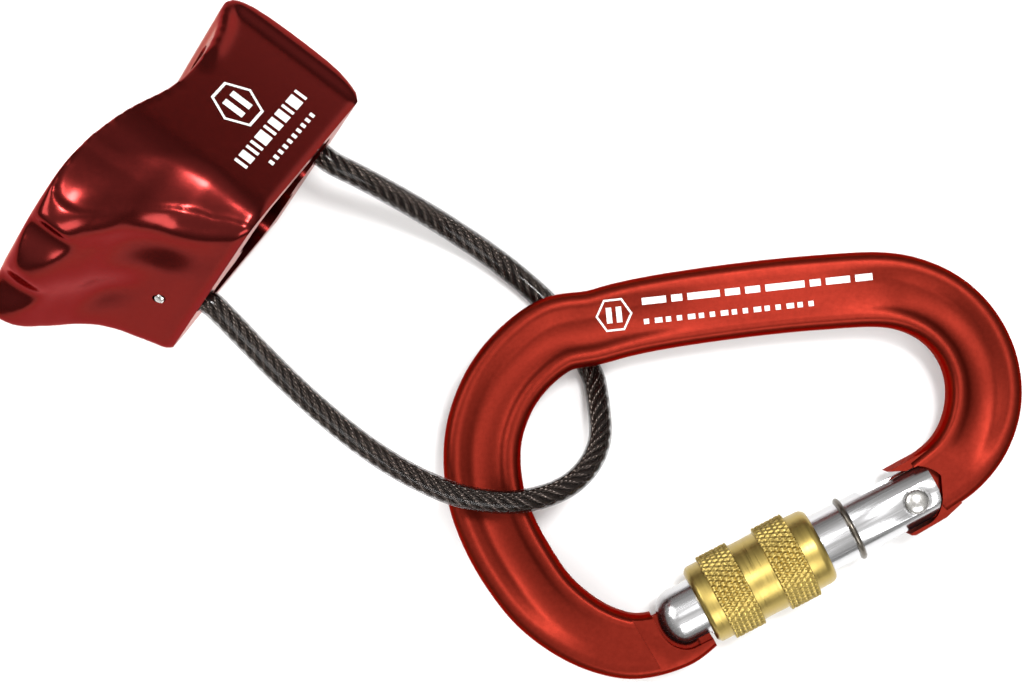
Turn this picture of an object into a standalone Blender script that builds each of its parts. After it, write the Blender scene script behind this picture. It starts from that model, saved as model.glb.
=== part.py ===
"""Belay set: a tube belay device, its coated-wire keeper loop and the screw-lock carabiner linked in it.

The set lies on a flat surface (+Z up). The carabiner lies flat, its spine along +X, and the
belay device stands on its lower rear edge with its brake lip pointing up and away.
All sizes are in metres; MM turns the millimetre figures of the design into metres.
"""
from math import cos, pi, radians, sin, sqrt

import bmesh
import bpy
from mathutils import Matrix, Vector

MM = 0.001
GAP = 0.3 * MM

# The whole set moves by this much, so that its box stands on the origin with its centre there.
SET_SHIFT = Vector((-1.94 * MM, 0.60 * MM, -0.10 * MM))

# ---- carabiner frame ------------------------------------------------------------------------
MID_HEIGHT = 8.8 * MM            # height of the frame's mid plane over the surface
BAR_THICKNESS = 8.5 * MM
RECESS_DEPTH = 1.15 * MM         # depth of the forged I-beam recess in the bows
RIGHT_BOW_CENTRE = Vector((64.4 * MM, -8.9 * MM))
RIGHT_BOW_RADIUS = 17.6 * MM
LEFT_BOW_CENTRE = Vector((19.0 * MM, -20.3 * MM))
LEFT_BOW_RADIUS = 24.2 * MM

# ---- gate -----------------------------------------------------------------------------------
RIVET_AT = Vector((69.7 * MM, -27.7 * MM, MID_HEIGHT))
GATE_DIRECTION = radians(207.4)  # from the rivet to the nose, in the plane of the frame
GATE_OFFSET = 0.65 * MM          # the tube's axis passes the rivet on the inner side
GATE_RADIUS = 5.25 * MM
GATE_TIP = 49.3 * MM
DOME_LENGTH = 4.0 * MM
GATE_OPENING = radians(24)
HINGE_FLAT_IN = 5.15 * MM        # flats that narrow the hinge end of the gate
HINGE_FLAT_OUT = -4.1 * MM
HINGE_STEP = 8.0 * MM            # where the flats end
EAR_SLOT_HALF = 2.2 * MM
EAR_SLOT_DEPTH = 7.4 * MM
LUG_HALF = 1.9 * MM
LUG_RADIUS = 4.2 * MM
PUSHER_STROKE = 0.9 * MM         # how far the lug's cam drives the pusher in a full opening
SPRING_BORE_RADIUS = 2.9 * MM
SPRING_BORE_END = 34.0 * MM
RIVET_RADIUS = 1.55 * MM
STOP_RING_AT = 12.0 * MM
STOP_RING_WIRE = 0.55 * MM

# ---- keyed nose -----------------------------------------------------------------------------
NOSE_NECK_HALF = 1.5 * MM
NOSE_HEAD_HALF = 2.5 * MM
NOSE_HEAD_FROM = 42.0 * MM
NOSE_HEAD_TO = 44.2 * MM
NOSE_INNER = 3.0 * MM

# ---- screw sleeve ---------------------------------------------------------------------------
SLEEVE_FROM = 17.8 * MM
SLEEVE_TO = 41.3 * MM
SLEEVE_BORE = GATE_RADIUS + 0.12 * MM

# ---- belay device ---------------------------------------------------------------------------
RIM_CENTRE = Vector((-41.25 * MM, 19.13 * MM, 28.48 * MM))
ROPE_TILT = radians(3)           # the rope direction rises by this much from the surface
BODY_HALF_WIDTH = 18.5 * MM
CORNER_RADIUS = 2.5 * MM
LOBE_PITCH = 12.8               # millimetres from lobe to lobe of the lip
BODY_REAR = 23.3 * MM            # the rear wall bulges to this at half its height
LIP_HALF_WIDTH = 15.4 * MM
SLOT_FRONT = -12.2 * MM
SLOT_REAR = 14.3 * MM
SLOT_INNER = 1.8 * MM
SLOT_OUTER = 14.0 * MM
DIVIDER_RECESS = 2.5 * MM

# ---- keeper loop ----------------------------------------------------------------------------
CABLE_RADIUS = 2.05 * MM
ROPE_RADIUS = 1.35 * MM
SHEATH_WALL = 0.4 * MM
REAR_BORE = Vector((17.6 * MM, -4.1 * MM, 0.0))
FRONT_BORE = Vector((-15.7 * MM, 6.0 * MM, 0.0))
BORE_RADIUS = CABLE_RADIUS + GAP
BORE_DEPTH = 12.4 * MM
SHEATH_IN = 3.0 * MM             # how far the sheath goes into its bore
FERRULE_LENGTH = 7.6 * MM
PIN_RADIUS = 0.9 * MM
PIN_HEIGHT = 6.0 * MM
PIN_END = 5.9 * MM               # from the cable's middle to the pin's outer end, near flush
BORES = (("rear", REAR_BORE, radians(90)), ("front", FRONT_BORE, radians(-90)))

# The loop's route from the rear bore to the front bore, between its straight ends.
LOOP_ROUTE = [Vector(p) * MM for p in (
    (-25.7, 27.9, 16.8), (-17.7, 23.7, 11.1), (-9.5, 18.8, 5.7), (-1.1, 13.0, 2.7), (6.7, 6.1, 2.2),
    (11.7, -0.4, 2.2), (13.4, -4.4, 2.5), (14.8, -8.4, 3.7), (15.2, -17.8, 8.3), (10.5, -24.4, 12.5),
    (1.8, -27.4, 16.6), (-7.6, -26.6, 19.2), (-15.9, -23.3, 21.2), (-23.9, -18.3, 23.5),
    (-31.8, -11.8, 26.7), (-39.6, -4.2, 30.1),
)]
CABLE_STEP = 4.2 * MM


def clear_scene():
    for item in list(bpy.data.objects):
        bpy.data.objects.remove(item, do_unlink=True)


def new_collection(name):
    made = bpy.data.collections.new(name)
    bpy.context.scene.collection.children.link(made)
    return made


def material(name, colour, roughness, metallic):
    made = bpy.data.materials.new(name)
    made.use_nodes = True
    shader = made.node_tree.nodes["Principled BSDF"]
    shader.inputs["Base Color"].default_value = (*colour, 1.0)
    shader.inputs["Roughness"].default_value = roughness
    shader.inputs["Metallic"].default_value = metallic
    return made


def add_part(name, data, parent, look):
    made = bpy.data.objects.new(name, data)
    parts.objects.link(made)
    made.parent = parent
    data.materials.append(material(name, *look))
    return made


def add_cutter(name, data, parent):
    made = bpy.data.objects.new(name, data)
    cutters.objects.link(made)
    made.parent = parent
    made.hide_render = True
    made.display_type = "WIRE"
    return made


def boolean(target, tool, operation):
    step = target.modifiers.new(operation.lower() + "_" + tool.name, "BOOLEAN")
    step.object = tool
    step.operation = operation
    step.solver = "EXACT"


def finish_mesh(name, shape):
    bmesh.ops.recalc_face_normals(shape, faces=shape.faces)
    data = bpy.data.meshes.new(name)
    shape.to_mesh(data)
    shape.free()
    data.shade_smooth()
    data.set_sharp_from_angle(angle=radians(35))
    return data


def prism(name, outline, direction, low, high, to_3d):
    """An outline extruded from low to high along direction; to_3d places an outline point."""
    shape = bmesh.new()
    corners = [shape.verts.new(to_3d(*point) + direction * low) for point in outline]
    base = shape.faces.new(corners)
    raised = bmesh.ops.extrude_face_region(shape, geom=[base])
    moved = [item for item in raised["geom"] if isinstance(item, bmesh.types.BMVert)]
    bmesh.ops.translate(shape, verts=moved, vec=direction * (high - low))
    return finish_mesh(name, shape)


def flat_prism(name, outline, low, high):
    """An outline in the x, y plane, extruded along z."""
    return prism(name, outline, Vector((0, 0, 1)), low, high, lambda x, y: Vector((x, y, 0)))


def side_prism(name, outline, half_width):
    """An outline in the x, z plane, extruded both ways along y."""
    across = Vector((0, 1, 0))
    return prism(name, outline, across, -half_width, half_width, lambda x, z: Vector((x, 0, z)))


def gate_prism(name, outline, low, high):
    """An outline in (along the gate, inward) coordinates, extruded in height about the mid plane."""
    return prism(name, outline, Vector((0, 1, 0)), low, high, lambda s, t: Vector((t, 0, s)))


def box_outline(x0, x1, y0, y1):
    return [(x0, y0), (x1, y0), (x1, y1), (x0, y1)]


def rounded_box(x0, x1, y0, y1, radius, steps=5):
    """A rectangle's outline with round corners."""
    points = []
    for cx, cy, start in ((x1 - radius, y1 - radius, 0), (x0 + radius, y1 - radius, 90),
                          (x0 + radius, y0 + radius, 180), (x1 - radius, y0 + radius, 270)):
        for i in range(steps + 1):
            angle = radians(start + 90 * i / steps)
            points.append((cx + radius * cos(angle), cy + radius * sin(angle)))
    return points


def rod(name, radius, low, high, segments=20):
    """A cylinder along z from low to high."""
    shape = bmesh.new()
    bmesh.ops.create_cone(shape, cap_ends=True, segments=segments, radius1=radius, radius2=radius,
                          depth=high - low, matrix=Matrix.Translation((0, 0, (low + high) / 2)))
    return finish_mesh(name, shape)


def turned(name, profile, parent, look, steps, axis_at=0.0, closed=False):
    """A solid of revolution about z; the profile runs down its outer side, top to bottom."""
    data = bpy.data.meshes.new(name)
    verts = [(radius, 0, height) for radius, height in profile]
    edges = [(i, i + 1) for i in range(len(verts) - 1)]
    if closed:
        edges.append((len(verts) - 1, 0))
    data.from_pydata(verts, edges, [])
    made = add_part(name, data, parent, look)
    made.location.x = axis_at
    screw = made.modifiers.new("turn", "SCREW")
    screw.steps = steps
    screw.render_steps = steps
    screw.use_merge_vertices = True
    screw.merge_threshold = 0.00001
    return made


def smooth_curve(points, per_span):
    """Points along a Catmull-Rom curve through the given points."""
    ends = [points[0] * 2 - points[1], *points, points[-1] * 2 - points[-2]]
    made = []
    for a, b, c, d in zip(ends, ends[1:], ends[2:], ends[3:]):
        for i in range(per_span):
            t = i / per_span
            made.append(0.5 * (2 * b + (c - a) * t + (2 * a - 5 * b + 4 * c - d) * t * t
                               + (3 * b - 3 * c + d - a) * t ** 3))
    made.append(points[-1].copy())
    return made


def even_steps(line, step):
    """The same line with points at equal distances of about step."""
    total = sum((b - a).length for a, b in zip(line, line[1:]))
    count = max(2, round(total / step))
    made, wanted, walked = [line[0].copy()], total / count, 0.0
    for a, b in zip(line, line[1:]):
        length = (b - a).length
        while walked + length >= wanted - 1e-9 and len(made) < count:
            made.append(a.lerp(b, (wanted - walked) / length))
            wanted += total / count
        walked += length
    made.append(line[-1].copy())
    return made


def wire(name, line, radius, parent, look, caps=True, resolution=2):
    """A round tube along a line of points."""
    data = bpy.data.curves.new(name, "CURVE")
    data.dimensions = "3D"
    data.bevel_depth = radius
    data.bevel_resolution = resolution
    data.use_fill_caps = caps
    spline = data.splines.new("POLY")
    spline.points.add(len(line) - 1)
    for knot, place in zip(spline.points, line):
        knot.co = (*place, 1.0)
    return add_part(name, data, parent, look)


# ---- carabiner frame ------------------------------------------------------------------------
def on_circle(centre, radius, degrees):
    return centre + radius * Vector((cos(radians(degrees)), sin(radians(degrees))))


def gate_point(s, t):
    """A point of the frame's plane, s along the gate from the rivet and t inward from it."""
    along = Vector((cos(GATE_DIRECTION), sin(GATE_DIRECTION)))
    inward = Vector((along.y, -along.x))
    return RIVET_AT.xy + along * s + inward * t


def frame_stations():
    """The bar's middle line from hinge to nose, as (x, y), width and depth of recess at each."""
    stations = [(gate_point(-3.2 * MM, 1.2 * MM), 11.2, 0.0)]
    for degrees, width, recess in ((-44, 11.7, 0.0), (-25, 12.3, 0.6), (-5, 12.7, 1.0), (15, 12.7, 1.0),
                                   (35, 12.7, 1.0), (55, 12.8, 1.0), (75, 12.9, 0.75)):
        stations.append((on_circle(RIGHT_BOW_CENTRE, RIGHT_BOW_RADIUS, degrees), width, recess))
    for x, y, recess in ((62.8, 8.95, 0.3), (53.0, 8.4, 0.0), (45.7, 7.75, 0.0), (38.0, 6.85, 0.0),
                         (30.5, 5.8, 0.12), (23.9, 4.7, 0.45), (18.8, 3.6, 0.65), (14.0, 2.3, 0.8)):
        stations.append((Vector((x, y)) * MM, 13.0, recess))
    for degrees in (118, 134, 150, 166, 180):
        stations.append((on_circle(LEFT_BOW_CENTRE, LEFT_BOW_RADIUS, degrees), 13.4, 1.0))
    for x, y, width, recess in ((-4.5, -26.8, 13.4, 1.0), (-2.2, -33.3, 13.3, 1.0), (1.2, -39.4, 13.1, 1.0),
                                (5.4, -45.0, 12.6, 0.7), (10.8, -49.4, 12.0, 0.25),
                                (16.4, -52.1, 11.5, 0.0), (22.0, -53.0, 11.1, 0.0)):
        stations.append((Vector((x, y)) * MM, width, recess))
    stations.append((gate_point(47.4 * MM, -2.1 * MM), 10.6, 0.0))
    stations.append((gate_point(41.8 * MM, -1.4 * MM), 10.0, 0.0))
    return stations


def bar_section(width, recess):
    """The bar's outline across its width: (outward, up), the top half from outside to inside."""
    half, top = width / 2, BAR_THICKNESS / 2
    shape = ((1.0, top - 2.1 * MM, 0), (0.95, top - 0.85 * MM, 0), (0.8, top, 0), (0.5, top, 0.25),
             (0.22, top, 0.9), (-0.15, top, 1), (-0.45, top, 0.55), (-0.66, top, 0), (-0.84, top, 0),
             (-0.96, top - 0.85 * MM, 0), (-1.0, top - 2.1 * MM, 0))
    upper = [(u * half, z - share * recess) for u, z, share in shape]
    return upper + [(u, -z) for u, z in reversed(upper)]


def build_frame(anchor, gate_frame):
    stations = frame_stations()
    packed = [Vector((place.x, place.y, width * MM)) for place, width, _ in stations]
    depths = [Vector((recess, 0, 0)) for _, _, recess in stations]
    line, depth = smooth_curve(packed, 3), smooth_curve(depths, 3)
    shape = bmesh.new()
    rings = []
    for i, (spot, cut) in enumerate(zip(line, depth)):
        ahead = (line[min(i + 1, len(line) - 1)] - line[max(i - 1, 0)]).xy.normalized()
        outward = Vector((ahead.y, -ahead.x))
        ring = []
        for u, z in bar_section(spot.z, max(cut.x, 0.0) * RECESS_DEPTH):
            ring.append(shape.verts.new((spot.x + outward.x * u, spot.y + outward.y * u, MID_HEIGHT + z)))
        rings.append(ring)
    for ring, following in zip(rings, rings[1:]):
        for k in range(len(ring)):
            after = (k + 1) % len(ring)
            shape.faces.new((ring[k], ring[after], following[after], following[k]))
    shape.faces.new(rings[0])
    shape.faces.new(rings[-1])
    frame = add_part("carabiner_frame", finish_mesh("carabiner_frame", shape), anchor, RED_ANODISED)

    inner_prong = [(p[0] * MM, p[1] * MM) for p in (
        (-7.0, -3.9), (-3.5, -4.9), (2.6, -5.2), (3.3, -4.9), (3.3, 0.0), (1.9, 5.3), (2.3, 6.3),
        (2.0, 6.75), (-0.6, 6.85), (-4.0, 6.9), (-7.0, 7.0))]
    half = BAR_THICKNESS / 2
    prongs = add_cutter("hinge_prongs", gate_prism("hinge_prongs", inner_prong, 0.6 * MM - half,
                                                   half - 0.6 * MM), gate_frame)
    boolean(frame, prongs, "UNION")
    nose_pocket = add_cutter("nose_pocket", gate_prism("nose_pocket", nose_pocket_outline(), -half * 2,
                                                       half * 2), gate_frame)
    boolean(frame, nose_pocket, "DIFFERENCE")
    hinge_pocket = add_cutter("hinge_pocket", gate_prism("hinge_pocket", hinge_pocket_outline(),
                                                         -half * 2, half * 2), gate_frame)
    boolean(frame, hinge_pocket, "DIFFERENCE")
    neck = add_cutter("nose_neck", gate_prism("nose_neck", box_outline(
        NOSE_HEAD_TO - 0.4 * MM, GATE_TIP + 3 * MM, -5.6 * MM, NOSE_INNER - 0.05 * MM),
        -NOSE_NECK_HALF, NOSE_NECK_HALF), gate_frame)
    boolean(frame, neck, "UNION")
    head = add_cutter("nose_head", gate_prism("nose_head", box_outline(
        NOSE_HEAD_FROM, NOSE_HEAD_TO, -5.8 * MM, NOSE_INNER), -NOSE_HEAD_HALF, NOSE_HEAD_HALF), gate_frame)
    boolean(frame, head, "UNION")
    lug = add_cutter("hinge_lug", gate_prism("hinge_lug", lug_outline(), -LUG_HALF, LUG_HALF), gate_frame)
    boolean(frame, lug, "UNION")
    hole = add_cutter("lug_hole", rod("lug_hole", RIVET_RADIUS + 0.08 * MM, -8 * MM, 8 * MM, 24), gate_frame)
    hole.rotation_euler = (pi / 2, 0, 0)
    boolean(frame, hole, "DIFFERENCE")
    return frame


def nose_pocket_outline():
    """The room for the gate's domed tip, open to the inside, and for the sleeve before it."""
    centre, reach = GATE_OFFSET, GATE_RADIUS + GAP
    points = [(30 * MM, -12 * MM), (SLEEVE_TO + 2 * GAP, -12 * MM), (SLEEVE_TO + 2 * GAP, centre - reach)]
    for i in range(9):
        angle = radians(-90 + 90 * i / 8)
        points.append((GATE_TIP - DOME_LENGTH + (DOME_LENGTH + GAP) * cos(angle), centre + reach * sin(angle)))
    points += [(GATE_TIP + GAP, 14 * MM), (30 * MM, 14 * MM)]
    return points


def gate_end_radius(angle):
    """How far the gate's hinge end reaches from the rivet, at an angle from the gate's direction."""
    flat_in = HINGE_FLAT_IN / max(sin(angle), 1e-6) if sin(angle) > 0 else 1.0
    flat_out = HINGE_FLAT_OUT / min(sin(angle), -1e-6) if sin(angle) < 0 else 1.0
    limit = 5.9 * MM if sin(angle) > 0 else 4.2 * MM
    end = 4.3 * MM / max(-cos(angle), 1e-6) if cos(angle) < 0 else 1.0
    return min(flat_in, flat_out, limit, end)


def hinge_pocket_outline():
    """The room that the gate's hinge end sweeps as it opens, plus the running gap."""
    sweep = [GATE_OPENING * i / 6 for i in range(7)]
    points = [(30 * MM, -6.5 * MM), (4.4 * MM, -6.5 * MM), (4.4 * MM, HINGE_FLAT_OUT - GAP - 0.2 * MM)]
    for degrees in range(275, 117, -9):
        angle = radians(degrees)
        reach = max(gate_end_radius(angle - turn) for turn in sweep) + GAP
        points.append((reach * cos(angle), reach * sin(angle)))
    opened = HINGE_FLAT_IN + 0.2 * MM
    far = 30 * MM
    points += [(-1.0 * MM, HINGE_FLAT_IN + GAP), (far, (opened + far * sin(GATE_OPENING)) / cos(GATE_OPENING))]
    return points


def lug_outline():
    """The thin hinge lug: a cam whose radius grows inward, so that opening drives the pusher."""
    points = [(-7.4 * MM, -3.4 * MM)]
    for degrees in range(-100, 101, 10):
        turn = min(max(radians(degrees), 0.0), GATE_OPENING)
        radius = LUG_RADIUS + PUSHER_STROKE * turn / GATE_OPENING
        points.append((radius * cos(radians(degrees)), radius * sin(radians(degrees))))
    points += [(-3.0 * MM, 5.2 * MM), (-7.4 * MM, 4.6 * MM)]
    return points


# ---- gate and what it holds -----------------------------------------------------------------
def dome_profile():
    """The domed tip, from the axis out to the tube's side."""
    points = []
    for i in range(7):
        angle = radians(90 - 90 * i / 6)
        points.append((GATE_RADIUS * cos(angle), GATE_TIP - DOME_LENGTH + DOME_LENGTH * sin(angle)))
    points[0] = (0.0, GATE_TIP)
    return points


def build_gate(gate_frame):
    groove = STOP_RING_WIRE * 1.9
    profile = dome_profile()
    profile += [(GATE_RADIUS, STOP_RING_AT + groove / 2), (GATE_RADIUS - STOP_RING_WIRE, STOP_RING_AT + groove / 2),
                (GATE_RADIUS - STOP_RING_WIRE, STOP_RING_AT - groove / 2),
                (GATE_RADIUS, STOP_RING_AT - groove / 2), (GATE_RADIUS, -5.2 * MM), (0.0, -5.2 * MM)]
    gate = turned("gate_tube", profile, gate_frame, POLISHED_ALUMINIUM, 40, GATE_OFFSET)

    ends = add_cutter("hinge_end_shape", gate_prism("hinge_end_shape", hinge_end_outline(), -8 * MM, 8 * MM),
                      gate_frame)
    boolean(gate, ends, "INTERSECT")
    ear_slot = add_cutter("ear_slot", gate_prism("ear_slot", box_outline(
        -9 * MM, EAR_SLOT_DEPTH, -9 * MM, 9 * MM), -EAR_SLOT_HALF, EAR_SLOT_HALF), gate_frame)
    boolean(gate, ear_slot, "DIFFERENCE")
    bore = add_cutter("spring_bore", rod("spring_bore", SPRING_BORE_RADIUS, EAR_SLOT_DEPTH - 1 * MM,
                                         SPRING_BORE_END, 24), gate_frame)
    bore.location.x = GATE_OFFSET
    boolean(gate, bore, "DIFFERENCE")
    rivet_hole = add_cutter("rivet_hole", rod("rivet_hole", RIVET_RADIUS + 0.05 * MM, -8 * MM, 8 * MM, 24),
                            gate_frame)
    rivet_hole.rotation_euler = (pi / 2, 0, 0)
    boolean(gate, rivet_hole, "DIFFERENCE")
    for name, side in (("spotface_top", -1), ("spotface_bottom", 1)):
        face = add_cutter(name, rod(name, 2.6 * MM, 4.55 * MM, 8 * MM, 24), gate_frame)
        face.rotation_euler = (-side * pi / 2, 0, 0)
        boolean(gate, face, "DIFFERENCE")
    neck_slot = add_cutter("neck_slot", gate_prism("neck_slot", box_outline(
        NOSE_HEAD_TO - 0.5 * MM, GATE_TIP + 2 * MM, -8 * MM, NOSE_INNER + GAP),
        -NOSE_NECK_HALF - GAP, NOSE_NECK_HALF + GAP), gate_frame)
    boolean(gate, neck_slot, "DIFFERENCE")
    head_slot = add_cutter("head_slot", gate_prism("head_slot", box_outline(
        NOSE_HEAD_FROM - 0.4 * MM, NOSE_HEAD_TO + 0.35 * MM, -8 * MM, NOSE_INNER + GAP + 0.05 * MM),
        -NOSE_HEAD_HALF - GAP, NOSE_HEAD_HALF + GAP), gate_frame)
    boolean(gate, head_slot, "DIFFERENCE")
    return gate


def hinge_end_outline():
    """The gate's plan outline: narrow and round at the hinge end, full width past the step."""
    points = []
    for degrees in range(110, 261, 10):
        reach = gate_end_radius(radians(degrees))
        points.append((reach * cos(radians(degrees)), reach * sin(radians(degrees))))
    points += [(HINGE_STEP, HINGE_FLAT_OUT), (HINGE_STEP + 1.2 * MM, -9 * MM), (60 * MM, -9 * MM),
               (60 * MM, 9 * MM), (HINGE_STEP + 1.2 * MM, 9 * MM), (HINGE_STEP, HINGE_FLAT_IN)]
    return points


def build_gate_fittings(gate_frame):
    shank = RIVET_RADIUS - 0.03 * MM
    head = 2.15 * MM
    half = [(shank, 4.55 * MM + 0.05 * MM)]
    dome = [(head, 4.6 * MM), (head, 4.9 * MM), (head * 0.82, 5.3 * MM), (head * 0.5, 5.6 * MM), (0.0, 5.75 * MM)]
    upper = list(reversed(half + dome))
    profile = upper + [(radius, -height) for radius, height in reversed(upper)]
    rivet = turned("gate_rivet", profile, gate_frame, RIVET_STEEL, 24)
    rivet.rotation_euler = (pi / 2, 0, 0)

    start = LUG_RADIUS + GAP
    pusher_profile = [(0.0, 19.0 * MM), (1.15 * MM, 19.0 * MM), (1.15 * MM, 12.2 * MM), (2.6 * MM, 12.2 * MM),
                      (2.6 * MM, EAR_SLOT_DEPTH + 1.6 * MM), (1.6 * MM, EAR_SLOT_DEPTH + 0.4 * MM),
                      (1.6 * MM, start + 0.9 * MM), (1.0 * MM, start + 0.25 * MM), (0.0, start)]
    turned("spring_pusher", pusher_profile, gate_frame, PLAIN_STEEL, 20, GATE_OFFSET)

    spring = []
    turns, wire_radius, coil_radius = 9, 0.33 * MM, 2.05 * MM
    first, last = 12.2 * MM + GAP + wire_radius, SPRING_BORE_END - GAP - wire_radius
    for i in range(turns * 9 + 1):
        angle = 2 * pi * i / 9
        rise = first + (last - first) * i / (turns * 9)
        spring.append(Vector((GATE_OFFSET + coil_radius * cos(angle), coil_radius * sin(angle), rise)))
    wire("gate_spring", spring, wire_radius, gate_frame, PLAIN_STEEL, resolution=1)

    ring = []
    ring_radius = GATE_RADIUS + 0.08 * MM
    for i in range(33):
        angle = radians(10) + radians(340) * i / 32
        ring.append(Vector((GATE_OFFSET + ring_radius * cos(angle + pi), ring_radius * sin(angle + pi),
                            STOP_RING_AT)))
    wire("stop_ring", ring, STOP_RING_WIRE - 0.02 * MM, gate_frame, PLAIN_STEEL)

    sleeve_profile = []
    for s, diameter in ((41.3, 13.0), (40.7, 14.3), (38.3, 14.4), (38.2, 15.7), (32.45, 15.7), (32.35, 14.3),
                        (27.45, 14.3), (27.35, 15.7), (21.65, 15.7), (21.55, 13.9), (18.5, 13.8), (17.8, 12.4)):
        sleeve_profile.append((diameter / 2 * MM, s * MM))
    sleeve_profile += [(SLEEVE_BORE, SLEEVE_FROM), (SLEEVE_BORE, SLEEVE_TO)]
    turned("screw_sleeve", sleeve_profile, gate_frame, BRASS, 40, GATE_OFFSET, closed=True)


# ---- belay device ---------------------------------------------------------------------------
def side_outline():
    """The device from the side: (x, z), brake lip to the front, rope direction up."""
    outline = smooth_curve([Vector(p) * MM for p in (
        (-18.8, 0.0), (-21.2, 5.5), (-23.8, 10.5), (-27.5, 14.8), (-31.8, 17.8), (-35.9, 21.4),
        (-37.6, 25.3), (-35.8, 27.9), (-32.5, 28.8), (-27.5, 29.0), (-20.5, 28.5), (-12.8, 26.7),
        (-5.0, 24.6), (1.0, 24.0), (8.0, 24.5), (13.6, 25.7), (17.8, 27.4), (20.5, 26.9), (22.3, 23.0),
        (23.3, 15.6), (22.8, 7.8), (21.0, 2.0), (20.0, 0.0))], 3)
    return [(p.x, p.y) for p in outline]


def plan_outline():
    """The device from below: (x, y), square body and a narrower lip with three lobes."""
    corner, rear = CORNER_RADIUS, BODY_REAR + 0.2 * MM
    half = [(rear, 0.0)]
    for degrees in range(0, 91, 15):
        half.append((rear - corner + corner * cos(radians(degrees)),
                     BODY_HALF_WIDTH - corner + corner * sin(radians(degrees))))
    half += [(-13.5 * MM, BODY_HALF_WIDTH), (-17.0 * MM, 17.9 * MM), (-20.5 * MM, 16.8 * MM),
             (-24.5 * MM, 15.9 * MM), (-30.0 * MM, LIP_HALF_WIDTH), (-34.0 * MM, 15.2 * MM)]
    for y in (14.6, 13.7, 12.8, 11.2, 9.6, 8.0, 6.4, 4.8, 3.2, 1.6, 0.0):
        lobe = 0.5 - 0.5 * cos(2 * pi * y / LOBE_PITCH)
        edge = max(0.0, y - LOBE_PITCH) ** 2 * 0.4
        half.append(((-37.65 + 3.0 * lobe * (y < LOBE_PITCH) + edge) * MM, y * MM))
    lower = [(x, -y) for x, y in half[1:-1]]
    return half + list(reversed(lower))


def build_device(device):
    body = add_part("tube_body", side_prism("tube_body", side_outline(), 25 * MM), device, RED_ANODISED)
    plan = add_cutter("device_plan", flat_prism("device_plan", plan_outline(), -5 * MM, 35 * MM), device)
    boolean(body, plan, "INTERSECT")
    for side in (-1, 1):
        low, high = sorted((side * SLOT_INNER, side * SLOT_OUTER))
        name = "rope_slot_left" if side < 0 else "rope_slot_right"
        outline = rounded_box(SLOT_FRONT, SLOT_REAR, low, high, 4.2 * MM)
        slot = add_cutter(name, flat_prism(name, outline, -5 * MM, 35 * MM), device)
        boolean(body, slot, "DIFFERENCE")
    recess = add_cutter("divider_recess", flat_prism("divider_recess", box_outline(
        -9.0 * MM, 11.0 * MM, -3 * MM, 3 * MM), -5 * MM, DIVIDER_RECESS), device)
    boolean(body, recess, "DIFFERENCE")
    for side in (-1, 1):
        name = "lip_groove_left" if side < 0 else "lip_groove_right"
        groove = add_cutter(name, rod(name, 2.6 * MM, -16 * MM, 22 * MM, 20), device)
        groove.location = (-35.6 * MM, side * 5.5 * MM, 30.4 * MM)
        groove.rotation_euler = (0, radians(90), 0)
        boolean(body, groove, "DIFFERENCE")
    for name, place, turn in BORES:
        bore = add_cutter(name + "_bore", rod(name + "_bore", BORE_RADIUS, -5 * MM, BORE_DEPTH), device)
        bore.location = place
        boolean(body, bore, "DIFFERENCE")
        hole = add_cutter(name + "_pin_hole", rod(name + "_pin_hole", PIN_RADIUS + GAP, 0, 9 * MM), device)
        hole.location = place + Vector((0, 0, PIN_HEIGHT))
        hole.rotation_euler = (0, turn, 0)
        boolean(body, hole, "DIFFERENCE")
    return body


def cable_line(device, inside):
    """The cable's middle line, from inside the rear bore round to inside the front bore."""
    def at_depth(bore, depth):
        return device.matrix_world @ (bore + Vector((0, 0, depth)))
    route = [at_depth(REAR_BORE, -2.5 * MM), *[p + SET_SHIFT for p in LOOP_ROUTE],
             at_depth(FRONT_BORE, -2.5 * MM)]
    outside = smooth_curve([at_depth(REAR_BORE, 0), *route, at_depth(FRONT_BORE, 0)], 8)
    return even_steps([at_depth(REAR_BORE, inside), *outside, at_depth(FRONT_BORE, inside)], CABLE_STEP)


def build_keeper(device):
    sheath = wire("cable_sheath", cable_line(device, SHEATH_IN), CABLE_RADIUS, None, CABLE_PVC, caps=False)
    shell = sheath.modifiers.new("wall", "SOLIDIFY")
    shell.thickness = SHEATH_WALL
    shell.offset = -1.0
    wire("cable_rope", cable_line(device, SHEATH_IN + GAP + FERRULE_LENGTH), ROPE_RADIUS, None, PLAIN_STEEL)
    low = SHEATH_IN + GAP
    high = low + FERRULE_LENGTH
    inner, outer = ROPE_RADIUS + 0.25 * MM, CABLE_RADIUS
    for name, place, turn in BORES:
        ferrule = turned(name + "_ferrule", [(outer, high), (outer, low), (inner, low), (inner, high)],
                         device, PLAIN_STEEL, 20, closed=True)
        ferrule.location = place
        bite = add_cutter(name + "_bite", rod(name + "_bite", PIN_RADIUS + GAP, 0, 9 * MM), device)
        bite.location = place + Vector((0, 0, PIN_HEIGHT))
        bite.rotation_euler = (0, turn, 0)
        boolean(ferrule, bite, "DIFFERENCE")
        pin = add_part(name + "_cable_pin", rod(name + "_cable_pin", PIN_RADIUS, ROPE_RADIUS + GAP,
                                                PIN_END), device, PLAIN_STEEL)
        pin.location = place + Vector((0, 0, PIN_HEIGHT))
        pin.rotation_euler = (0, turn, 0)


def device_axes():
    """The device's own axes: x to its rear wall, y across the slots, z the rope direction."""
    rope = Vector((-0.8 * cos(ROPE_TILT), 0.6 * cos(ROPE_TILT), sin(ROPE_TILT)))
    across = Vector((0.6, 0.8, 0))
    upward = rope.cross(across) * -1 if rope.cross(across).z < 0 else rope.cross(across)
    rear = (across - upward) * sqrt(0.5)
    return Matrix((rear, rope.cross(rear), rope)).transposed().to_4x4()


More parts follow.
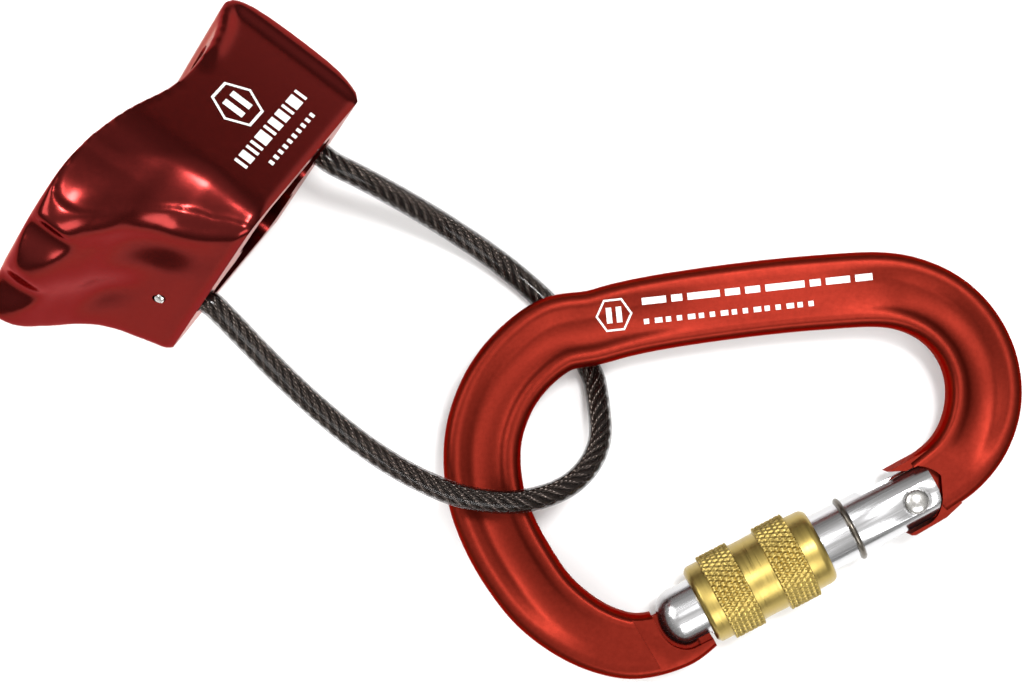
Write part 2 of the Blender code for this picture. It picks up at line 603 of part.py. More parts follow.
def gate_axes():
    """The gate's own axes: x inward, y down, z from the rivet to the nose."""
    along = Vector((cos(GATE_DIRECTION), sin(GATE_DIRECTION), 0))
    inward = Vector((along.y, -along.x, 0))
    return Matrix((inward, along.cross(inward), along)).transposed().to_4x4()


def add_empty(name, place):
    made = bpy.data.objects.new(name, None)
    bpy.context.scene.collection.objects.link(made)
    made.matrix_world = place
    return made


RED_ANODISED = ((0.42, 0.03, 0.02), 0.28, 0.9)
POLISHED_ALUMINIUM = ((0.8, 0.81, 0.83), 0.18, 1.0)
RIVET_STEEL = ((0.62, 0.61, 0.58), 0.3, 1.0)
PLAIN_STEEL = ((0.5, 0.5, 0.5), 0.35, 1.0)
BRASS = ((0.55, 0.42, 0.14), 0.32, 1.0)
CABLE_PVC = ((0.05, 0.035, 0.03), 0.25, 0.0)

clear_scene()
parts = new_collection("belay_device_set")
cutters = new_collection("cutters")
set_anchor = add_empty("set_anchor", Matrix.Translation(SET_SHIFT))
gate_hinge = add_empty("gate_hinge", Matrix.Translation(RIVET_AT + SET_SHIFT) @ gate_axes())
device_anchor = add_empty("device_anchor", Matrix.Translation(RIM_CENTRE + SET_SHIFT) @ device_axes())
bpy.context.view_layer.update()

build_frame(set_anchor, gate_hinge)
build_gate(gate_hinge)
build_gate_fittings(gate_hinge)
build_device(device_anchor)
build_keeper(device_anchor)
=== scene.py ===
"""The looks of the belay set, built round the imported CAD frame."""
from math import cos, pi, radians, sin, sqrt

import bmesh
import bpy
import numpy as np
from mathutils import Matrix, Vector


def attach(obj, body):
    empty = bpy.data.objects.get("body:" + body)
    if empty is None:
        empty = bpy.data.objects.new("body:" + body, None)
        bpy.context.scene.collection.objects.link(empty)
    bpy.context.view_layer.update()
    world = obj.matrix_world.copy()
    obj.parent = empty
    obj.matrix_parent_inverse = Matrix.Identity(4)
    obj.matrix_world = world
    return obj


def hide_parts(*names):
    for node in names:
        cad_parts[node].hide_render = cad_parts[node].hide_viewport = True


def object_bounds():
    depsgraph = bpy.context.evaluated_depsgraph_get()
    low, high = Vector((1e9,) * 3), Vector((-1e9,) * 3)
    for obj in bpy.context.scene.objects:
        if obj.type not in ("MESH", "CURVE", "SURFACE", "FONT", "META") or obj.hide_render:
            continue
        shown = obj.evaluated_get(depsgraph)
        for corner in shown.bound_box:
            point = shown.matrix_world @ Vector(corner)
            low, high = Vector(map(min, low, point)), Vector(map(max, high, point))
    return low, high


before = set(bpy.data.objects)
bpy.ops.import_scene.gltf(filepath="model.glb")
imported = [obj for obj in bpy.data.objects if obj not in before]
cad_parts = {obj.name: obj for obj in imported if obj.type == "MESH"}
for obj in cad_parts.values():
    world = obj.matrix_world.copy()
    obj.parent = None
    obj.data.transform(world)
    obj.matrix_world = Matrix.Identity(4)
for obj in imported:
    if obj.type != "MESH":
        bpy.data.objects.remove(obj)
cad_low, cad_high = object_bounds()

MM = 0.001
SET_SHIFT = Vector((-1.94 * MM, 0.60 * MM, -0.10 * MM))   # the same as in the CAD source
MID_HEIGHT = 8.8 * MM           # of the carabiner's bar above the floor
SHARP_ANGLE = 35                # degrees between faces from which an edge shows as sharp
ALL_SMOOTH = 180
THROUGH = 8 * MM                # a tool this long goes through the gate or the bar

# ---- camera ---------------------------------------------------------------------------------
CAMERA_HEIGHT = 459 * MM
CAMERA_LENS = 90.97
CAMERA_SENSOR = 36.0

# ---- carabiner ------------------------------------------------------------------------------
BAR_THICKNESS = 8.5 * MM
RECESS_DEPTH = 1.15 * MM
RIGHT_BOW_CENTRE = Vector((64.4 * MM, -8.9 * MM))
RIGHT_BOW_RADIUS = 17.6 * MM
LEFT_BOW_CENTRE = Vector((19.0 * MM, -20.3 * MM))
LEFT_BOW_RADIUS = 24.2 * MM
SPINE_ANGLE = radians(6.2)
RIVET_AT = Vector((69.7 * MM, -27.7 * MM, MID_HEIGHT))
GATE_DIRECTION = radians(207.4)
GATE_OFFSET = 0.65 * MM
GATE_RADIUS = 5.25 * MM
GATE_TIP = 49.3 * MM
DOME_LENGTH = 4.0 * MM
GATE_OPENING = radians(24)
GAP = 0.3 * MM
HINGE_FLAT_IN = 5.15 * MM
HINGE_FLAT_OUT = -4.1 * MM
HINGE_STEP = 8.0 * MM
EAR_SLOT_HALF = 2.2 * MM
EAR_SLOT_DEPTH = 7.4 * MM
LUG_HALF = 1.9 * MM
LUG_RADIUS = 4.2 * MM
PUSHER_STROKE = 0.9 * MM
RIVET_RADIUS = 1.55 * MM
STOP_RING_AT = 12.0 * MM
STOP_RING_WIRE = 0.55 * MM
NOSE_NECK_HALF = 1.5 * MM
NOSE_HEAD_HALF = 2.5 * MM
NOSE_HEAD_FROM = 42.0 * MM
NOSE_HEAD_TO = 44.2 * MM
NOSE_INNER = 3.0 * MM
NOSE_REACH = GATE_TIP + 3 * MM
NOSE_FACE = [Vector(p) * MM for p in (
    (17.6, -43.0), (27.9, -60.4), (44.0, -58.0), (44.0, -40.0), (24.0, -40.0))]
NOSE_FACE_CUT = 0.22 * MM       # how far the faces beside the nose are milled down
SLEEVE_FROM = 17.8 * MM
SLEEVE_TO = 41.3 * MM
SLEEVE_BORE = GATE_RADIUS + 0.12 * MM
GATE_END = -5.2 * MM
RIVET_FACE_RADIUS = 2.6 * MM    # the flat round that each rivet head sits in
RIVET_FACE_AT = 4.55 * MM
RIVET_HEAD_RADIUS = 2.15 * MM
RIVET_HEAD_FROM = 4.6 * MM
RIVET_DOME_FROM = 4.85 * MM
RIVET_DOME = 0.9 * MM
EDGE_SOFTENING = 0.12 * MM
KNURLS_AROUND = 44
KNURL_DEPTH = 0.34 * MM
KNURL_LEAN = 0.62               # turns of the pattern for each row along the sleeve
KNURL_ROW = 1.12                # millimetres
KNURL_LAND = 0.35               # the part of a diamond that stays flat

# ---- belay device ---------------------------------------------------------------------------
RIM_CENTRE = Vector((-41.25 * MM, 19.13 * MM, 28.48 * MM))
ROPE_TILT = radians(3)
BODY_HALF_WIDTH = 18.5 * MM
CORNER_RADIUS = 2.5 * MM
LOBE_PITCH = 12.8               # millimetres from lobe to lobe of the lip
BODY_REAR = 23.3 * MM
FLANK = ((-34.0, 15.2), (-30.0, 15.4), (-24.5, 15.9), (-20.5, 16.8), (-17.0, 17.9), (-13.5, 18.5))
# The flank gives the half width over x, from the lip back to the full width, in millimetres.
LOBE_DEPTH = 2.7                # of the notches between the lobes in plan, millimetres
ROUND_AT_HEIGHTS = (0, 5, 10, 20)         # millimetres above the rim
ROUND_BACK = (3.5, 7.0, 11.0, 16.0)       # how far the near corner's round reaches at those heights
ROUND_ACROSS = (3.5, 7.0, 10.0, 12.0)
FAR_ROUND = 2.0                 # the same on the far side, at every height
RIM_ROUND = 1.2 * MM
FAR_LOBE_SHORT = 1.6 * MM
FAR_SIDE_OUT = 1.9 * MM
LOBES_OUT = 1.8 * MM
VALLEY_DEPTH = 1.3 * MM
WALL_RECESS = 0.7 * MM          # the flat side lies this deep inside its raised border
SLOT_FRONT = -12.2 * MM
SLOT_REAR = 14.3 * MM
SLOT_INNER = 1.8 * MM
SLOT_OUTER = 14.0 * MM
SLOT_CORNER = 4.2 * MM
DIVIDER_RECESS = 2.5 * MM
BODY_GRAIN = 0.55 * MM          # the size of the body's faces
ROUNDING_STEPS = 14
SETTLING_STEPS = 7

# ---- keeper loop ----------------------------------------------------------------------------
CABLE_RADIUS = 2.05 * MM
REAR_BORE = Vector((17.6 * MM, -4.1 * MM, 0.0))
FRONT_BORE = Vector((-15.7 * MM, 6.0 * MM, 0.0))
BORES = {"rear": (REAR_BORE, radians(90)), "front": (FRONT_BORE, radians(-90))}
SHEATH_IN = 3.0 * MM
PIN_RADIUS = 0.9 * MM
PIN_HEIGHT = 6.0 * MM
PIN_END = 5.9 * MM
PIN_INNER_END = 1.7 * MM
BORE_DEPTH = 12.4 * MM
LOOP_ROUTE = [Vector(p) * MM for p in (
    (-25.7, 27.9, 16.8), (-17.7, 23.7, 11.1), (-9.5, 18.8, 5.7), (-1.1, 13.0, 2.7), (6.7, 6.1, 2.2),
    (11.7, -0.4, 2.2), (13.4, -4.4, 2.5), (14.8, -8.4, 3.7), (15.2, -17.8, 8.3), (10.5, -24.4, 12.5),
    (1.8, -27.4, 16.6), (-7.6, -26.6, 19.2), (-15.9, -23.3, 21.2), (-23.9, -18.3, 23.5),
    (-31.8, -11.8, 26.7), (-39.6, -4.2, 30.1),
)]
STRANDS = 6
STRAND_LAY = 13.0 * MM          # length of one full turn of a strand round the rope
STRAND_AT = 1.2 * MM            # from the rope's middle to a strand's
WIRES = 6                       # in each strand
WIRE_LAY = 4.4 * MM             # and of a wire round its strand
STRAND_RADIUS = 0.60 * MM
WIRE_RADIUS = 0.27 * MM
ROPE_STEP = 0.35 * MM
JACKET_STEP = 1.2 * MM

# ---- marks, lights, materials ---------------------------------------------------------------
MARK_LIFT = 0.03 * MM           # from the surface below
HEXAGON_INSIDE = 0.88           # of the outline's outer radius
WALL_MARKS_AT = Vector((1.2 * MM, -24 * MM, 10.2 * MM))
SPINE_MARKS_AT = Vector((38.0 * MM, 6.6 * MM, 20 * MM))
FLOOR_SIZE = 3.0
FLOOR_GAP = 0.00002             # from the lowest point of the CAD down to the floor
SIDE_LIGHT = (0.5, 0.35, 3.6)   # width, height, power
KEY_LIGHT = (0.13, 0.11, 3.0)
GLOW_FROM, GLOW_TO = 0.3, 0.85  # the world's strength at the horizon and overhead
NOISE_LOW, NOISE_HIGH = 0.3, 0.7          # nearly all of a noise lies between these


# ---- helpers --------------------------------------------------------------------------------
def add_object(name, data, place=Matrix.Identity(4)):
    made = bpy.data.objects.new(name, data)
    bpy.context.scene.collection.objects.link(made)
    made.matrix_world = place
    return made


def mesh_from(name, shape, sharp=SHARP_ANGLE):
    """A mesh from a bmesh, which is used up."""
    bmesh.ops.recalc_face_normals(shape, faces=shape.faces)
    data = bpy.data.meshes.new(name)
    shape.to_mesh(data)
    shape.free()
    data.shade_smooth()
    data.set_sharp_from_angle(angle=radians(sharp))
    return data


def applied(made, sharp=SHARP_ANGLE):
    """The object with its modifiers applied to its mesh."""
    graph = bpy.context.evaluated_depsgraph_get()
    data = bpy.data.meshes.new_from_object(made.evaluated_get(graph))
    made.modifiers.clear()
    made.data = data
    data.shade_smooth()
    data.set_sharp_from_angle(angle=radians(sharp))
    return made


def boolean(target, data, place, operation):
    """One Boolean step with a mesh as the tool; the tool is removed afterwards."""
    tool = add_object("tool", data, place)
    step = target.modifiers.new(operation.lower(), "BOOLEAN")
    step.object = tool
    step.operation = operation
    step.solver = "EXACT"
    bpy.context.view_layer.update()
    applied(target)
    bpy.data.objects.remove(tool)


def prism(outline, direction, low, high, to_3d):
    """A solid between two copies of an outline, low and high along a direction."""
    shape = bmesh.new()
    corners = [shape.verts.new(to_3d(*point) + direction * low) for point in outline]
    base = shape.faces.new(corners)
    raised = bmesh.ops.extrude_face_region(shape, geom=[base])
    moved = [item for item in raised["geom"] if isinstance(item, bmesh.types.BMVert)]
    bmesh.ops.translate(shape, verts=moved, vec=direction * (high - low))
    return mesh_from("prism", shape)


def flat_prism(outline, low, high):
    return prism(outline, Vector((0, 0, 1)), low, high, lambda x, y: Vector((x, y, 0)))


def side_prism(outline, half_width):
    across = Vector((0, 1, 0))
    return prism(outline, across, -half_width, half_width, lambda x, z: Vector((x, 0, z)))


def gate_prism(outline, low, high):
    """A prism from an outline given as along the gate and inward."""
    return prism(outline, Vector((0, 1, 0)), low, high, lambda s, t: Vector((t, 0, s)))


def box_outline(x0, x1, y0, y1):
    return [(x0, y0), (x1, y0), (x1, y1), (x0, y1)]


def rounded_box(x0, x1, y0, y1, radius, steps=10):
    points = []
    for cx, cy, start in ((x1 - radius, y1 - radius, 0), (x0 + radius, y1 - radius, 90),
                          (x0 + radius, y0 + radius, 180), (x1 - radius, y0 + radius, 270)):
        for i in range(steps + 1):
            angle = radians(start + 90 * i / steps)
            points.append((cx + radius * cos(angle), cy + radius * sin(angle)))
    return points


def rod_mesh(radius, low, high, segments=48):
    shape = bmesh.new()
    bmesh.ops.create_cone(shape, cap_ends=True, segments=segments, radius1=radius, radius2=radius,
                          depth=high - low, matrix=Matrix.Translation((0, 0, (low + high) / 2)))
    return mesh_from("rod", shape)


def turned_mesh(name, profile, steps, centre=0.0):
    """A solid of revolution about z, moved along x by centre."""
    shape = bmesh.new()
    rings = []
    for radius, height in profile:
        ring = []
        for k in range(steps if radius > 1e-9 else 1):
            angle = 2 * pi * k / steps
            ring.append(shape.verts.new((centre + radius * cos(angle), radius * sin(angle), height)))
        rings.append(ring)
    for upper, lower in zip(rings, rings[1:]):
        for k in range(steps):
            after = (k + 1) % steps
            corners = [upper[k % len(upper)], upper[after % len(upper)],
                       lower[after % len(lower)], lower[k % len(lower)]]
            corners = list(dict.fromkeys(corners))
            if len(corners) > 2:
                shape.faces.new(corners)
    return mesh_from(name, shape)


def spline_point(a, b, c, d, t):
    """The point at the share t of the way from b to c, on a smooth curve through a, b, c and d."""
    return 0.5 * (2 * b + (c - a) * t + (2 * a - 5 * b + 4 * c - d) * t * t
                  + (3 * b - 3 * c + d - a) * t ** 3)


def smooth_curve(points, per_span):
    """Points on a smooth curve through the given ones, per_span of them from each to the next."""
    ends = [points[0] * 2 - points[1], *points, points[-1] * 2 - points[-2]]
    made = []
    for a, b, c, d in zip(ends, ends[1:], ends[2:], ends[3:]):
        for i in range(per_span):
            made.append(spline_point(a, b, c, d, i / per_span))
    made.append(points[-1].copy())
    return made


def even_steps(line, step):
    """The same line with its points about one step apart."""
    total = sum((b - a).length for a, b in zip(line, line[1:]))
    count = max(2, round(total / step))
    made, wanted, walked = [line[0].copy()], total / count, 0.0
    for a, b in zip(line, line[1:]):
        length = (b - a).length
        while walked + length >= wanted - 1e-9 and len(made) < count:
            made.append(a.lerp(b, (wanted - walked) / length))
            wanted += total / count
        walked += length
    made.append(line[-1].copy())
    return made


def wire_curve(name, lines, radius, resolution=4):
    """Round tubes along lines of points, as one curve object."""
    data = bpy.data.curves.new(name, "CURVE")
    data.dimensions = "3D"
    data.bevel_depth = radius
    data.bevel_resolution = resolution
    data.use_fill_caps = True
    for line in lines:
        spline = data.splines.new("POLY")
        spline.points.add(len(line) - 1)
        for knot, place in zip(spline.points, line):
            knot.co = (*place, 1.0)
    return add_object(name, data)


def step_up(value, low, high):
    """0 below low, 1 above high, smooth between; works on arrays."""
    t = np.clip((value - low) / (high - low), 0.0, 1.0)
    return t * t * (3 - 2 * t)


# ---- materials ------------------------------------------------------------------------------
class Look:
    """A node material round one Principled shader."""

    def __init__(self, name, colour, metallic, roughness):
        self.made = bpy.data.materials.new(name)
        self.made.use_nodes = True
        self.tree = self.made.node_tree
        self.shader = self.tree.nodes["Principled BSDF"]
        self.set("Base Color", (*colour, 1.0))
        self.set("Metallic", metallic)
        self.set("Roughness", roughness)
        self.place = self.tree.nodes.new("ShaderNodeTexCoord").outputs["Object"]

    def set(self, socket, value):
        self.shader.inputs[socket].default_value = value
        return self

    def link(self, source, socket):
        self.tree.links.new(source, socket)

    def stretched(self, scale):
        """The surface's place, scaled differently along x, y and z."""
        node = self.tree.nodes.new("ShaderNodeMapping")
        node.inputs["Scale"].default_value = scale
        self.link(self.place, node.inputs["Vector"])
        return node.outputs["Vector"]

    def noise(self, scale, detail=3.0, where=None, roughness=0.5):
        node = self.tree.nodes.new("ShaderNodeTexNoise")
        node.inputs["Scale"].default_value = scale
        node.inputs["Detail"].default_value = detail
        node.inputs["Roughness"].default_value = roughness
        self.link(where or self.place, node.inputs["Vector"])
        return node.outputs["Fac"]

    def mapped(self, source, low, high):
        """A noise spread over the range from low to high."""
        node = self.tree.nodes.new("ShaderNodeMapRange")
        node.inputs["From Min"].default_value = NOISE_LOW
        node.inputs["From Max"].default_value = NOISE_HIGH
        node.inputs["To Min"].default_value = low
        node.inputs["To Max"].default_value = high
        self.link(source, node.inputs["Value"])
        return node.outputs["Result"]

    def mixed(self, source, first, second):
        node = self.tree.nodes.new("ShaderNodeMix")
        node.data_type = "RGBA"
        self.link(source, node.inputs["Factor"])
        node.inputs["A"].default_value = (*first, 1.0)
        node.inputs["B"].default_value = (*second, 1.0)
        return node.outputs["Result"]

    def colour_from(self, source):
        self.link(source, self.shader.inputs["Base Color"])

    def roughness_from(self, source):
        self.link(source, self.shader.inputs["Roughness"])

    def bump(self, source, strength, distance):
        node = self.tree.nodes.new("ShaderNodeBump")
        node.inputs["Strength"].default_value = strength
        node.inputs["Distance"].default_value = distance
        self.link(source, node.inputs["Height"])
        self.link(node.outputs["Normal"], self.shader.inputs["Normal"])


def red_anodised(name, deep, bright, roughness, coat):
    """Dyed metal: a fine mottle of two tones, and reflections that turn red at grazing angles."""
    look = Look(name, deep, 1.0, roughness)
    tone = look.noise(1500.0, 5.0)
    look.colour_from(look.mixed(look.mapped(tone, 0.0, 1.0), deep, bright))
    look.roughness_from(look.mapped(look.noise(800.0, 5.0), roughness - 0.02, roughness + 0.02))
    look.bump(look.noise(5200.0, 3.0), roughness / 4, 0.012 * MM)
    look.set("Coat Weight", coat).set("Coat Roughness", 0.16)
    look.set("Specular Tint", (0.75, 0.24, 0.17, 1.0))
    return look.made


def drawn_metal(name, colour, roughness, along, strength=0.1):
    """Bright metal with fine lines; along gives the scale on each axis, small where they run."""
    look = Look(name, colour, 1.0, roughness)
    lines = look.noise(1.0, 4.0, look.stretched(along), 0.6)
    darker = tuple(c * 0.86 for c in colour)
    look.colour_from(look.mixed(look.mapped(lines, 0.0, 1.0), darker, colour))
    look.roughness_from(look.mapped(lines, roughness * 0.75, roughness * 1.35))
    look.bump(lines, strength, 0.03 * MM)
    return look.made


def jacket_look():
    """Dark plastic that the wires show through."""
    look = Look("jacket_clear_dark", (0.006, 0.004, 0.0035), 0.0, 0.12)
    look.roughness_from(look.mapped(look.noise(900.0, 3.0), 0.08, 0.2))
    cloud = look.mapped(look.noise(260.0, 3.0), 0.42, 0.55)
    look.link(cloud, look.shader.inputs["Alpha"])
    look.bump(look.noise(700.0, 2.0), 0.15, 0.05 * MM)
    look.set("IOR", 1.45).set("Specular IOR Level", 0.3)
    return look.made


def mark_look():
    look = Look("laser_mark", (0.72, 0.72, 0.7), 0.0, 0.6)
    speck = look.noise(5200.0, 2.0)
    tone = look.mapped(speck, 0.0, 1.0)
    look.colour_from(look.mixed(tone, (0.55, 0.53, 0.52), (0.86, 0.86, 0.84)))
    look.bump(speck, 0.3, 0.01 * MM)
    return look.made


def wear(made, look):
    made.data.materials.clear()
    made.data.materials.append(look)
    return made


# ---- carabiner frame ------------------------------------------------------------------------
def on_circle(centre, radius, degrees):
    return centre + radius * Vector((cos(radians(degrees)), sin(radians(degrees))))


def gate_point(s, t):
    """The point at s along the shut gate from its rivet and t inward, in plan."""
    along = Vector((cos(GATE_DIRECTION), sin(GATE_DIRECTION)))
    inward = Vector((along.y, -along.x))
    return RIVET_AT.xy + along * s + inward * t


def frame_stations():
    """The bar's course from hinge to nose: place, width in millimetres, share of the full recess."""
    stations = [(gate_point(-3.2 * MM, 1.2 * MM), 11.2, 0.0)]
    for degrees, width, recess in (
            (-44, 11.7, 0.0), (-25, 12.3, 0.6), (-5, 12.7, 1.0), (15, 12.7, 1.0),
            (35, 12.7, 1.0), (55, 12.8, 1.0), (75, 12.9, 0.75)):
        stations.append((on_circle(RIGHT_BOW_CENTRE, RIGHT_BOW_RADIUS, degrees), width, recess))
    for x, y, recess in ((62.8, 8.95, 0.3), (53.0, 8.4, 0.0), (45.7, 7.75, 0.0), (38.0, 6.85, 0.0),
                         (30.5, 5.8, 0.12), (23.9, 4.7, 0.45), (18.8, 3.6, 0.65), (14.0, 2.3, 0.8)):
        stations.append((Vector((x, y)) * MM, 13.0, recess))
    for degrees in (118, 134, 150, 166, 180):
        stations.append((on_circle(LEFT_BOW_CENTRE, LEFT_BOW_RADIUS, degrees), 13.4, 1.0))
    for x, y, width, recess in (
            (-4.5, -26.8, 13.4, 1.0), (-2.2, -33.3, 13.3, 1.0), (1.2, -39.4, 13.1, 1.0),
            (5.4, -45.0, 12.6, 0.7), (10.8, -49.4, 12.0, 0.25),
            (16.4, -52.1, 11.5, 0.0), (22.0, -53.0, 11.1, 0.0)):
        stations.append((Vector((x, y)) * MM, width, recess))
    stations.append((gate_point(47.4 * MM, -2.1 * MM), 10.6, 0.0))
    stations.append((gate_point(41.8 * MM, -1.4 * MM), 10.0, 0.0))
    return stations


def bar_section(width, recess):
    """The bar's outline across its width, fine and round: (outward, up)."""
    half, top = width / 2, BAR_THICKNESS / 2
    shape = (
        (1.0, top - 3.0 * MM, 0), (0.985, top - 1.9 * MM, 0), (0.93, top - 0.75 * MM, 0),
        (0.8, top - 0.12 * MM, 0), (0.62, top, 0.03), (0.42, top, 0.42), (0.2, top, 0.92),
        (-0.12, top, 1), (-0.4, top, 0.72), (-0.56, top, 0.2), (-0.68, top, 0),
        (-0.82, top - 0.1 * MM, 0), (-0.93, top - 0.75 * MM, 0), (-0.985, top - 1.9 * MM, 0),
        (-1.0, top - 3.0 * MM, 0))
    upper = [Vector((u * half, z - share * recess)) for u, z, share in shape]
    lower = [Vector((p.x, -p.y)) for p in reversed(upper)]
    loop = upper + lower
    fine = []
    count = len(loop)
    for i in range(count):
        a, b, c, d = (loop[(i + k - 1) % count] for k in range(4))
        for t in (0.0, 0.25, 0.5, 0.75):
            fine.append(spline_point(a, b, c, d, t))
    return fine


def build_frame():
    """The bar swept along its stations, then the hinge and nose cut into its ends."""
    stations = frame_stations()
    packed = [Vector((place.x, place.y, width * MM)) for place, width, _ in stations]
    depths = [Vector((recess, 0, 0)) for _, _, recess in stations]
    line, depth = smooth_curve(packed, 9), smooth_curve(depths, 9)
    shape = bmesh.new()
    rings = []
    for i, (spot, cut) in enumerate(zip(line, depth)):
        ahead = (line[min(i + 1, len(line) - 1)] - line[max(i - 1, 0)]).xy.normalized()
        outward = Vector((ahead.y, -ahead.x))
        ring = []
        for p in bar_section(spot.z, max(cut.x, 0.0) * RECESS_DEPTH):
            out = outward * p.x
            ring.append(shape.verts.new((spot.x + out.x, spot.y + out.y, MID_HEIGHT + p.y)))
        rings.append(ring)
    for ring, following in zip(rings, rings[1:]):
        for k in range(len(ring)):
            after = (k + 1) % len(ring)
            shape.faces.new((ring[k], ring[after], following[after], following[k]))
    shape.faces.new(rings[0])
    shape.faces.new(rings[-1])
    made = add_object("frame_bar", mesh_from("frame_bar", shape), Matrix.Translation(SET_SHIFT))
    half = BAR_THICKNESS / 2
    prongs = [(p[0] * MM, p[1] * MM) for p in (
        (-7.0, -3.9), (-3.5, -4.9), (2.6, -5.2), (3.3, -4.9), (3.3, 0.0), (1.9, 5.3), (2.3, 6.3),
        (2.0, 6.75), (-0.6, 6.85), (-4.0, 6.9), (-7.0, 7.0))]
    for outline, low, high, operation in (
            (prongs, 0.6 * MM - half, half - 0.6 * MM, "UNION"),
            (nose_pocket_outline(), -half * 2, half * 2, "DIFFERENCE"),
            (hinge_pocket_outline(), -half * 2, half * 2, "DIFFERENCE"),
            (box_outline(NOSE_HEAD_TO - 0.4 * MM, NOSE_REACH, -5.6 * MM, NOSE_INNER - 0.05 * MM),
             -NOSE_NECK_HALF, NOSE_NECK_HALF, "UNION"),
            (box_outline(NOSE_HEAD_FROM, NOSE_HEAD_TO, -5.8 * MM, NOSE_INNER),
             -NOSE_HEAD_HALF, NOSE_HEAD_HALF, "UNION"),
            (lug_outline(), -LUG_HALF, LUG_HALF, "UNION")):
        boolean(made, gate_prism(outline, low, high), gate_place, operation)
    boolean(made, rod_mesh(RIVET_RADIUS + 0.08 * MM, -THROUGH, THROUGH), across_rivet, "DIFFERENCE")
    for side in (-1, 1):
        low, high = sorted((side * (half - NOSE_FACE_CUT), side * (half + 2 * MM)))
        face = flat_prism([tuple(corner) for corner in NOSE_FACE], low, high)
        middle = Matrix.Translation(SET_SHIFT + Vector((0, 0, MID_HEIGHT)))
        boolean(made, face, middle, "DIFFERENCE")
    return made


def nose_pocket_outline():
    """What is cut from the bar for the gate's tip and the sleeve."""
    centre, reach, front = GATE_OFFSET, GATE_RADIUS + GAP, SLEEVE_TO + 2 * GAP
    points = [(30 * MM, -12 * MM), (front, -12 * MM), (front, centre - reach)]
    for i in range(25):
        angle = radians(-90 + 90 * i / 24)
        along = GATE_TIP - DOME_LENGTH + (DOME_LENGTH + GAP) * cos(angle)
        points.append((along, centre + reach * sin(angle)))
    points += [(GATE_TIP + GAP, 14 * MM), (30 * MM, 14 * MM)]
    return points


def gate_end_radius(angle):
    """How far the gate's hinge end reaches from the rivet at an angle to the gate."""
    flat_in = HINGE_FLAT_IN / max(sin(angle), 1e-6) if sin(angle) > 0 else 1.0
    flat_out = HINGE_FLAT_OUT / min(sin(angle), -1e-6) if sin(angle) < 0 else 1.0
    limit = 5.9 * MM if sin(angle) > 0 else 4.2 * MM
    end = 4.3 * MM / max(-cos(angle), 1e-6) if cos(angle) < 0 else 1.0
    return min(flat_in, flat_out, limit, end)


def hinge_pocket_outline():
    """What is cut from the bar so that the gate's hinge end can turn."""
    sweep = [GATE_OPENING * i / 6 for i in range(7)]
    points = [(30 * MM, -6.5 * MM), (4.4 * MM, -6.5 * MM),
              (4.4 * MM, HINGE_FLAT_OUT - GAP - 0.2 * MM)]
    for degrees in range(275, 117, -3):
        angle = radians(degrees)
        reach = max(gate_end_radius(angle - turn) for turn in sweep) + GAP
        points.append((reach * cos(angle), reach * sin(angle)))
    opened = HINGE_FLAT_IN + 0.2 * MM
    far = 30 * MM
    points.append((-1.0 * MM, HINGE_FLAT_IN + GAP))
    points.append((far, (opened + far * sin(GATE_OPENING)) / cos(GATE_OPENING)))
    return points


def lug_outline():
    """The hinge lug, with the cam that presses the pusher back as the gate opens."""
    points = [(-7.4 * MM, -3.4 * MM)]
    for degrees in range(-100, 101, 4):
        turn = min(max(radians(degrees), 0.0), GATE_OPENING)
        radius = LUG_RADIUS + PUSHER_STROKE * turn / GATE_OPENING
        points.append((radius * cos(radians(degrees)), radius * sin(radians(degrees))))
    points += [(-3.0 * MM, 5.2 * MM), (-7.4 * MM, 4.6 * MM)]
    return points


# ---- gate -----------------------------------------------------------------------------------
def build_gate():
    groove = STOP_RING_WIRE * 1.9
    ring_floor = GATE_RADIUS - STOP_RING_WIRE
    profile = []
    for i in range(15):
        angle = radians(90 - 90 * i / 14)
        profile.append((GATE_RADIUS * cos(angle), GATE_TIP - DOME_LENGTH + DOME_LENGTH * sin(angle)))
    profile[0] = (0.0, GATE_TIP)
    profile += [(GATE_RADIUS, STOP_RING_AT + groove / 2), (ring_floor, STOP_RING_AT + groove / 2),
                (ring_floor, STOP_RING_AT - groove / 2), (GATE_RADIUS, STOP_RING_AT - groove / 2),
                (GATE_RADIUS, GATE_END), (0.0, GATE_END)]
    tube = turned_mesh("gate_polished", profile, 128, centre=GATE_OFFSET)
    made = add_object("gate_polished", tube, gate_place)
    boolean(made, gate_prism(hinge_end_outline(), -THROUGH, THROUGH), gate_place, "INTERSECT")
    ear_slot = box_outline(-9 * MM, EAR_SLOT_DEPTH, -9 * MM, 9 * MM)
    boolean(made, gate_prism(ear_slot, -EAR_SLOT_HALF, EAR_SLOT_HALF), gate_place, "DIFFERENCE")
    boolean(made, rod_mesh(RIVET_RADIUS + 0.05 * MM, -THROUGH, THROUGH), across_rivet, "DIFFERENCE")
    for side in (-1, 1):
        face = gate_place @ Matrix.Rotation(side * pi / 2, 4, "X")
        boolean(made, rod_mesh(RIVET_FACE_RADIUS, RIVET_FACE_AT, THROUGH), face, "DIFFERENCE")
    for outline, half in (
            (box_outline(NOSE_HEAD_TO - 0.5 * MM, GATE_TIP + 2 * MM, -THROUGH, NOSE_INNER + GAP),
             NOSE_NECK_HALF),
            (box_outline(NOSE_HEAD_FROM - 0.4 * MM, NOSE_HEAD_TO + 0.35 * MM, -THROUGH,
                         NOSE_INNER + GAP + 0.05 * MM), NOSE_HEAD_HALF)):
        boolean(made, gate_prism(outline, -half - GAP, half + GAP), gate_place, "DIFFERENCE")
    soften = made.modifiers.new("edges", "BEVEL")
    soften.width = EDGE_SOFTENING
    soften.segments = 2
    soften.angle_limit = radians(50)
    return applied(made)


